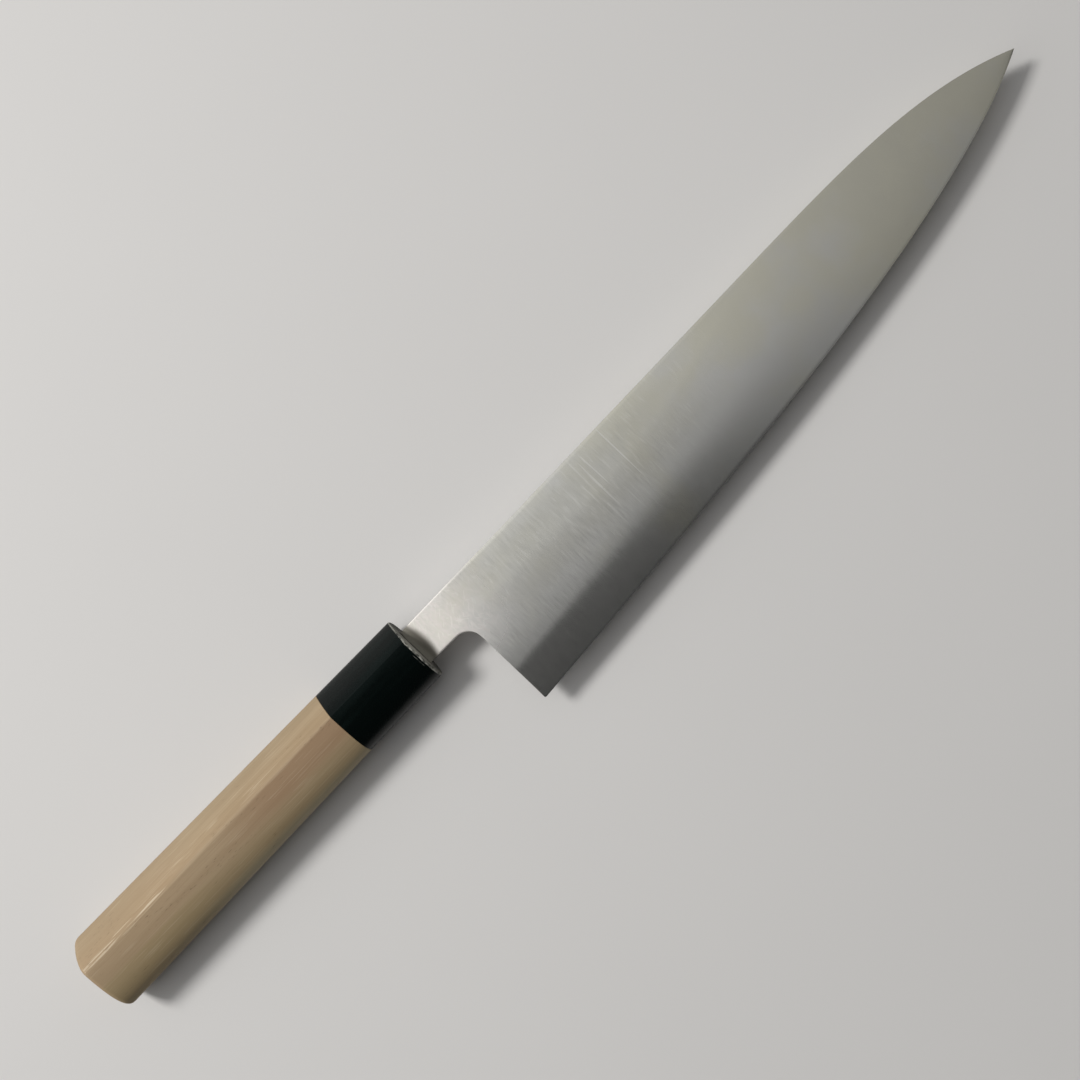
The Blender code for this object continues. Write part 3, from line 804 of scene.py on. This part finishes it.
    def side(self, start, along, length, keen, side):
        """One side of the ring, from the lower end to the middle of the spine."""
        points = []
        blunt = self.depth(start, side)
        ease = min(self.sizes.back_ease, blunt * 0.9, length / 4)
        bevel = min(BEVEL_HEIGHT, length / 4)
        for k in range(self.CLOSING):
            share = k / (self.CLOSING - 1)
            angle = QUARTER * share
            inward = mix(ease * (1 - math.cos(angle)), bevel * share, keen)
            lip = 0.0 if k == 0 else blunt - ease * (1 - math.sin(angle))
            keen_lip = share * self.depth(start + along * bevel, side)
            points.append((inward, mix(lip, keen_lip, keen)))
        begin = points[-1][0]
        half = self.half((start + along * length).x)
        top_ease = min(self.sizes.spine_ease, half * 0.6, length / 4)
        finish = length - top_ease
        for k in range(1, self.ROWS + 1):
            inward = mix(begin, finish, (k / self.ROWS) ** self.SPREAD)
            points.append((inward, self.depth(start + along * inward, side)))
        crown = points[-1][1]
        for k in range(1, self.SPINE_STEPS):
            angle = QUARTER * k / (self.SPINE_STEPS - 1)
            points.append((length - top_ease * (1 - math.sin(angle)),
                           crown - top_ease * (1 - math.cos(angle))))
        points.append((length, 0.0))
        return [(*(start + along * inward), side * depth) for inward, depth in points]

    def mesh(self):
        return loft([self.section(*line) for line in self.rulings()])


def add_inputs(tree, sizes):
    """Give a geometry tree its named inputs. Returns its graph and each input's value by name."""
    tree.interface.new_socket("Geometry", in_out="OUTPUT", socket_type="NodeSocketGeometry")
    for name, value in sizes.items():
        # Material, Int or Float
        kind = type(value).__name__.capitalize()
        tree.interface.new_socket(name, in_out="INPUT", socket_type="NodeSocket" + kind)
    graph = Graph(tree)
    group = graph.node("NodeGroupInput", {}).socket.node
    return graph, {name: Value(graph, group.outputs[name]) for name in sizes}


def grow(name, sizes, carve):
    """The plain mesh of a length of the handle with these sizes, carved as given."""
    holder = bpy.data.objects.new(name, bpy.data.meshes.new(name))
    bpy.context.scene.collection.objects.link(holder)
    modifier = holder.modifiers.new(name, "NODES")
    modifier.node_group = handle_tree(name, sizes, carve)
    for item in modifier.node_group.interface.items_tree:
        if item.in_out == "INPUT":
            modifier[item.identifier] = sizes[item.name]
    bpy.context.view_layer.update()
    graph = bpy.context.evaluated_depsgraph_get()
    mesh = bpy.data.meshes.new_from_object(holder.evaluated_get(graph), depsgraph=graph)
    bpy.data.objects.remove(holder, do_unlink=True)
    return mesh


def section_point(around, x, inset, size):
    """Y and Z of a point round the handle's D section, drawn in by inset.

    around counts the stretches from the top: the upper facet, the worn ridge, the flank, the
    round below, the flat land on the left and the round back up to the top.
    """
    def taper(part):
        return mix(size["Front " + part], size["Butt " + part], x / -HANDLE_LENGTH)

    whole = taper("Height") * 0.5
    half = whole - inset
    ridge_z = taper("Ridge") - inset
    ridge_y = whole - taper("Drop")
    left_z = inset - LEFT_DEPTH
    land = LAND_WIDTH / 2 - inset * 0.5
    flat = mix(land, half, ROUND_HOLD)
    side = left_z * ROUND_HOLD
    facet = half * FACET_HOLD
    flank = half * FLANK_HOLD
    upper = ((half, half, ridge_y + facet * math.cos(FACET_ANGLE), ridge_y),
             (0.0, ridge_z * BACK_HOLD, ridge_z - facet * math.sin(FACET_ANGLE), ridge_z))
    lower = ((ridge_y, ridge_y - flank * math.cos(FLANK_ANGLE), -half, -half),
             (ridge_z, ridge_z - flank * math.sin(FLANK_ANGLE), ridge_z * BELLY_HOLD, 0.0))
    under = ((-half, -half, -flat, -land), (0.0, side, left_z, left_z))
    across = ((-land, land * (-1.0 / 3), land * (1.0 / 3), land), (left_z,) * 4)
    back = ((land, flat, half, half), (left_z, left_z, side, 0.0))
    # Wear takes the ridge away between a point on the curve before it and one on the next
    wear_share = (size["Front"] - x) / (size["Front"] - size["Back"])
    wear = mix(size["Front Wear"], size["Back Wear"], wear_share)
    facet_end = 1.0 - wear / (facet * 3.0)
    flank_start = wear / (flank * 3.0)
    facet_shares, flank_shares = cubic_shares(facet_end), cubic_shares(flank_start)
    worn = []
    for before, ridge, after in zip(upper, (ridge_y, ridge_z), lower):
        first, last = cubic(before, facet_shares), cubic(after, flank_shares)
        worn.append((first, mix(ridge, first, 1.0 / 3), mix(ridge, last, 1.0 / 3), last))
    places = [(around - i).clamp() for i in range(STRETCHES)]
    places[0] = places[0] * facet_end
    places[2] = mix(flank_start, 1.0, places[2])
    curves = (upper, worn, lower, under, across, back)
    starts = [(curve[0][0], curve[1][0]) for curve in curves]
    starts[2] = (worn[0][3], worn[1][3])
    y, z = half, 0.0
    for curve, place, begin in zip(curves, places, starts):
        shares = cubic_shares(place)
        y = y + cubic(curve[0], shares) - begin[0]
        z = z + cubic(curve[1], shares) - begin[1]
    return y, z


def handle_tree(name, sizes, carve):
    """A tree for a length of the handle with a flat, round-rimmed face at each end.

    A grid is bent into the shape. Along it run five stretches: the front face from its middle,
    the front rim, the side, the back rim and the back face to its middle. Each face is one row
    deep, and the other three have as many rows as there are steps. Round it run the section's
    own stretches.
    """
    tree = bpy.data.node_groups.new(name, "GeometryNodeTree")
    graph, size = add_inputs(tree, sizes)
    steps = size["Steps"]
    rows = steps * 3.0 + 2.0
    grid = graph.node("GeometryNodeMeshGrid", {}, {
        "Size X": 1.0, "Size Y": 1.0, "Vertices X": rows + 1.0,
        "Vertices Y": steps * STRETCHES + 1.0})
    along, across, _ = graph.split(graph.node("GeometryNodeInputPosition", {}))
    row = (along + 0.5) * rows
    around = (across + 0.5) * STRETCHES
    face, end_face = row.clamp(), (row - rows + 1.0).clamp()
    rim, body, end_rim = (((row - 1.0) / steps - i).clamp() for i in range(3))
    swing, end_swing = rim * QUARTER, end_rim * QUARTER
    # The back rim is rounded more at the top, where the last stretch meets the first
    upward = graph.ramp(abs(around - STRETCHES / 2), *BUTT_TOP_REACH)
    back_round = mix(size["Back Round"], size["Back Top Round"], upward)
    front_round = size["Front Round"]
    length = size["Front"] - size["Back"]
    x = (size["Front"] - front_round * (1.0 - swing.cosine())
         - body * (length - front_round - back_round)
         - back_round * end_swing.sine())
    inset = front_round * (1.0 - swing.sine()) + back_round * (1.0 - end_swing.cosine())
    spread = face * (1.0 - end_face)
    y, z = section_point(around, x, inset, size)
    point = graph.node("ShaderNodeCombineXYZ", {}, (x, y * spread, z * spread))
    bent = graph.node("GeometryNodeSetPosition", {}, {"Geometry": grid, "Position": point})
    closed = graph.node("GeometryNodeMergeByDistance", {},
                        {"Geometry": bent, "Distance": GRID_MERGE})
    whole = graph.node("GeometryNodeRealizeInstances", {}, {"Geometry": carve(graph, closed)})
    dressed = graph.node("GeometryNodeSetMaterial", {},
                         {"Geometry": whole, "Material": size["Finish"]})
    graph.node("NodeGroupOutput", {}, {"Geometry": dressed})
    return tree


def laid(graph, bar, front, back, turn=0.0):
    """A bar moved along X, so that its middle is the middle between front and back."""
    return graph.node("GeometryNodeTransform", {}, {
        "Geometry": bar, "Translation": ((front + back) / 2, 0.0, 0.0),
        "Rotation": (0.0, turn, 0.0)})


def round_bar(graph, radius, front, back):
    bar = graph.node("GeometryNodeMeshCylinder", {},
                     {"Vertices": BORE_SIDES, "Radius": radius, "Depth": front - back})
    return laid(graph, bar, front, back, QUARTER)


def square_bar(graph, height, thickness, front, back):
    bar = graph.node("GeometryNodeMeshCube", {}, {"Size": (front - back, height, thickness)})
    return laid(graph, bar, front, back)


def soft_bar(graph, height, thickness, corner, front, back):
    """A bar along X whose section is a rectangle with round corners."""
    outline = graph.node("GeometryNodeCurvePrimitiveQuadrilateral", {},
                         {"Width": height, "Height": thickness})
    soft = graph.node("GeometryNodeFilletCurve", {"mode": "POLY"},
                      {"Curve": outline, "Count": SEAL_CORNER_STEPS, "Radius": corner})
    path = graph.node("GeometryNodeCurvePrimitiveLine", {},
                      {"Start": (back, 0.0, 0.0), "End": (front, 0.0, 0.0)})
    return graph.node("GeometryNodeCurveToMesh", {},
                      {"Curve": path, "Profile Curve": soft, "Fill Caps": True})


def cut(graph, body, *tools):
    """The body with the shape of each tool cut out of it in turn."""
    for tool in tools:
        body = graph.node("GeometryNodeMeshBoolean",
                          {"operation": "DIFFERENCE", "solver": "EXACT"},
                          {"Mesh 1": body, "Mesh 2": tool})
    return body


def carve_ferrule(graph, body):
    """The blind bore behind, the slot for the neck and the pocket for the seal."""
    bore = round_bar(graph, TENON_RADIUS + TENON_GAP, -FERRULE_FRONT_WALL,
                     -FERRULE_LENGTH - OVERCUT)
    slot = square_bar(graph, NECK_HEIGHT + SOCKET_PLAY, SLOT_THICKNESS + SOCKET_PLAY,
                      OVERCUT, -FERRULE_FRONT_WALL - OVERCUT)
    room = 2 * (SEAL_GAP + SEAL_WALL)
    pocket = soft_bar(graph, NECK_HEIGHT + room, SLOT_THICKNESS + room, SEAL_CORNER,
                      OVERCUT, -SEAL_DEPTH)
    return cut(graph, body, bore, slot, pocket)


def carve_handle(graph, body):
    """The round tenon in front and the socket for the tang."""
    front = -FERRULE_FRONT_WALL - TENON_GAP
    tenon = round_bar(graph, TENON_RADIUS, front, -FERRULE_LENGTH - OVERCUT)
    body = graph.node("GeometryNodeMeshBoolean", {"operation": "UNION", "solver": "EXACT"},
                      {"Mesh 2": [body, tenon]})
    socket = square_bar(graph, TANG_HEIGHT + SOCKET_PLAY, SLOT_THICKNESS + SOCKET_PLAY,
                        front + OVERCUT, -TANG_LENGTH - TENON_GAP)
    return cut(graph, body, socket)


def handle_sizes(sizes, finish, ends, rounds, wear):
    """The inputs of a handle tree. ends, rounds and wear run from the front to the back.

    The third of the rounds is for the top of the back rim.
    """
    own = ("Front", "Back", "Front Round", "Back Round", "Back Top Round", "Front Wear",
           "Back Wear")
    shared = ("Front Height", "Butt Height", "Front Ridge", "Butt Ridge", "Front Drop",
              "Butt Drop", "Steps")
    return {**dict(zip(own, (*ends, *rounds, *wear))),
            **{name: getattr(sizes, name.lower().replace(" ", "_")) for name in shared},
            "Finish": finish}


def seal_mesh():
    """The bead of resin round the neck, standing proud of the ferrule by a varying amount."""
    side = SEAL_GAP - SEAL_BEND
    centres = [Vector((v * (NECK_HEIGHT / 2 + side), u * (SLOT_THICKNESS / 2 + side)))
               for u, v in ((1, 1), (-1, 1), (-1, -1), (1, -1))]
    # Round the neck, bend by bend and side by side: places in Y and Z, and the way out there
    path = []
    for quarter, centre in enumerate(centres):
        for share in (0.0, *equal_steps(BEAD_BEND_STEPS)):
            path.append((centre, QUARTER * (quarter + share)))
        after = centres[(quarter + 1) % len(centres)]
        for share in equal_steps(BEAD_SIDE_STEPS)[:-1]:
            path.append((centre.lerp(after, share), QUARTER * (quarter + 1)))
    rings = []
    foot = SEAL_FOOT_GAP - SEAL_DEPTH
    for number, (middle, angle) in enumerate(path):
        turn = 4 * QUARTER * number / len(path)
        proud = FERRULE_REACH + BEAD_HEIGHT + sum(
            height * math.sin(count * turn + start) for count, height, start in BEAD_SWELLS)
        profile = [(foot, 0.0), (foot, SEAL_FILL)]
        for share in (0.0, *equal_steps(BEAD_ROUND_STEPS)):
            profile.append((proud * math.sin(math.pi * share) - BEAD_SINK,
                            mix(0.5, SEAL_FILL, math.cos(math.pi * share))))
        out = Vector((math.sin(angle), math.cos(angle)))
        rings.append([(x, *(middle + out * (SEAL_BEND + SEAL_WALL * share)))
                      for x, share in profile])
    return loft(rings, closed=True)


class KNIFE_OT_blade(bpy.types.Operator):
    """Build the ground blade with its neck and tang"""

    bl_idname = "knife.blade"
    bl_label = "Blade"

    def execute(self, context):
        sizes = context.scene.knife_blade
        steel = satin_steel(context.scene.knife_colours, sizes)
        mesh = BladeShape(sizes).mesh()
        finish_piece("satin_blade", mesh, steel, "blade", BLADE_SHARP)
        return {"FINISHED"}


class KNIFE_OT_ferrule(bpy.types.Operator):
    """Build the horn collar at the front of the handle"""

    bl_idname = "knife.ferrule"
    bl_label = "Ferrule"

    def execute(self, context):
        sizes = context.scene.knife_handle
        horn = black_horn(context.scene.knife_colours)
        values = handle_sizes(sizes, horn, (FERRULE_REACH, -FERRULE_LENGTH),
                              (sizes.rim_round, sizes.joint_round, sizes.joint_round),
                              (sizes.horn_wear, sizes.horn_wear))
        mesh = grow("ferrule_shape", values, carve_ferrule)
        finish_piece("horn_ferrule", mesh, horn, "ferrule")
        return {"FINISHED"}


class KNIFE_OT_handle(bpy.types.Operator):
    """Build the wooden grip with its tenon and its socket for the tang"""

    bl_idname = "knife.handle"
    bl_label = "Handle"

    def execute(self, context):
        sizes = context.scene.knife_handle
        wood = pale_wood(context.scene.knife_colours)
        values = handle_sizes(sizes, wood, (-FERRULE_LENGTH - sizes.joint_gap, -HANDLE_LENGTH),
                              (sizes.joint_round, sizes.butt_round, sizes.butt_top_round),
                              (sizes.joint_wear, sizes.butt_wear))
        mesh = grow("handle_shape", values, carve_handle)
        finish_piece("wooden_handle", mesh, wood, "handle")
        return {"FINISHED"}


class KNIFE_OT_seal(bpy.types.Operator):
    """Build the bead of resin round the neck"""

    bl_idname = "knife.seal"
    bl_label = "Seal"

    def execute(self, context):
        resin = seal_resin(context.scene.knife_colours)
        finish_piece("resin_seal", seal_mesh(), resin, "tang_seal")
        return {"FINISHED"}


class KNIFE_OT_studio(bpy.types.Operator):
    """Set the floor, the lights and the camera"""

    bl_idname = "knife.studio"
    bl_label = "Studio"

    def execute(self, context):
        scene = context.scene
        settings = scene.knife_studio
        middle = ORIGIN + PICTURE_MIDDLE
        self.floor(scene)
        self.camera(scene, settings, middle)
        self.lamp(scene, settings.key_power, middle)
        self.room(scene, settings.room_light)
        scene.view_settings.view_transform = "Standard"
        return {"FINISHED"}

    def floor(self, scene):
        mesh = bpy.data.meshes.new("floor")
        work = bmesh.new()
        bmesh.ops.create_grid(work, x_segments=1, y_segments=1, size=FLOOR_REACH)
        work.to_mesh(mesh)
        work.free()
        mesh.transform(Matrix.Translation((0.0, 0.0, CAD_BOX[0][2] - FLOOR_DROP)))
        mesh.materials.append(floor_finish(scene.knife_colours))
        floor = bpy.data.objects.new("floor", mesh)
        scene.collection.objects.link(floor)

    def camera(self, scene, settings, middle):
        """A camera that looks straight down on the blade."""
        data = bpy.data.cameras.new("camera")
        data.lens = data.sensor_width * settings.view_height / settings.view_width
        data.clip_start = NEAREST_SEEN
        camera = bpy.data.objects.new("camera", data)
        camera.location = middle + Vector((0.0, 0.0, settings.view_height))
        camera.rotation_euler = (0.0, 0.0, -settings.view_turn)
        scene.collection.objects.link(camera)
        scene.camera = camera

    def lamp(self, scene, power, middle):
        """A square lamp that faces the picture's middle and isn't seen by the camera itself."""
        data = bpy.data.lights.new("key_lamp", "AREA")
        data.size = LAMP_SIDE
        data.energy = power
        data.color = LAMP_COLOUR
        lamp = bpy.data.objects.new("key_lamp", data)
        lamp.location = middle + LAMP_PLACE
        lamp.rotation_euler = (-LAMP_PLACE).to_track_quat("-Z", "Y").to_euler()
        lamp.visible_camera = False
        scene.collection.objects.link(lamp)

    def room(self, scene, light):
        """A dim room that is light on the spine's side, most of all towards the handle."""
        scene.world = bpy.data.worlds.new("room")
        scene.world.use_nodes = True
        graph = Graph(scene.world.node_tree)
        way = graph.node("ShaderNodeTexCoord", {}, output="Generated")
        # How far a direction points towards the tip, and how far to the spine's side
        along, across, _ = graph.split(way)
        low = across + graph.ramp(along, -0.04, 0.33) * 0.1
        level = (graph.ramp(low, -0.182, 0.07)
                 * (1.0 - graph.ramp(along, -0.25, 0.45) * 0.74)
                 * (1.0 - graph.ramp(across, 0.4, 0.95) * 0.6) * light + ROOM_SHADE)
        colour = graph.node("ShaderNodeCombineColor", {}, (level, level, level))
        graph.fill(graph.tree.nodes["Background"], {"Color": colour})


class KNIFE_PT_panel(bpy.types.Panel):
    """Sizes, colours and buttons for the knife"""

    bl_idname = "KNIFE_PT_panel"
    bl_label = "Gyuto Knife"
    bl_space_type = "VIEW_3D"
    bl_region_type = "UI"
    bl_category = "Knife"

    def draw(self, context):
        for operator in OPERATORS:
            self.layout.operator(operator.bl_idname)
        for name, group in GROUPS.items():
            box = self.layout.box()
            for size in group.__annotations__:
                box.prop(getattr(context.scene, name), size)


GROUPS = {
    "knife_blade": BladeSizes,
    "knife_handle": HandleSizes,
    "knife_colours": KnifeColours,
    "knife_studio": StudioSettings,
}
OPERATORS = (KNIFE_OT_studio, KNIFE_OT_blade, KNIFE_OT_ferrule, KNIFE_OT_handle, KNIFE_OT_seal)


def register():
    for item in (*GROUPS.values(), *OPERATORS, KNIFE_PT_panel):
        bpy.utils.register_class(item)
    for name, group in GROUPS.items():
        setattr(bpy.types.Scene, name, PointerProperty(type=group))


def unregister():
    for name in GROUPS:
        delattr(bpy.types.Scene, name)
    for item in reversed((*GROUPS.values(), *OPERATORS, KNIFE_PT_panel)):
        bpy.utils.unregister_class(item)


def main():
    register()
    bpy.ops.knife.studio()
    bpy.ops.knife.blade()
    bpy.ops.knife.ferrule()
    bpy.ops.knife.handle()
    bpy.ops.knife.seal()


if __name__ == "__main__":
    main()
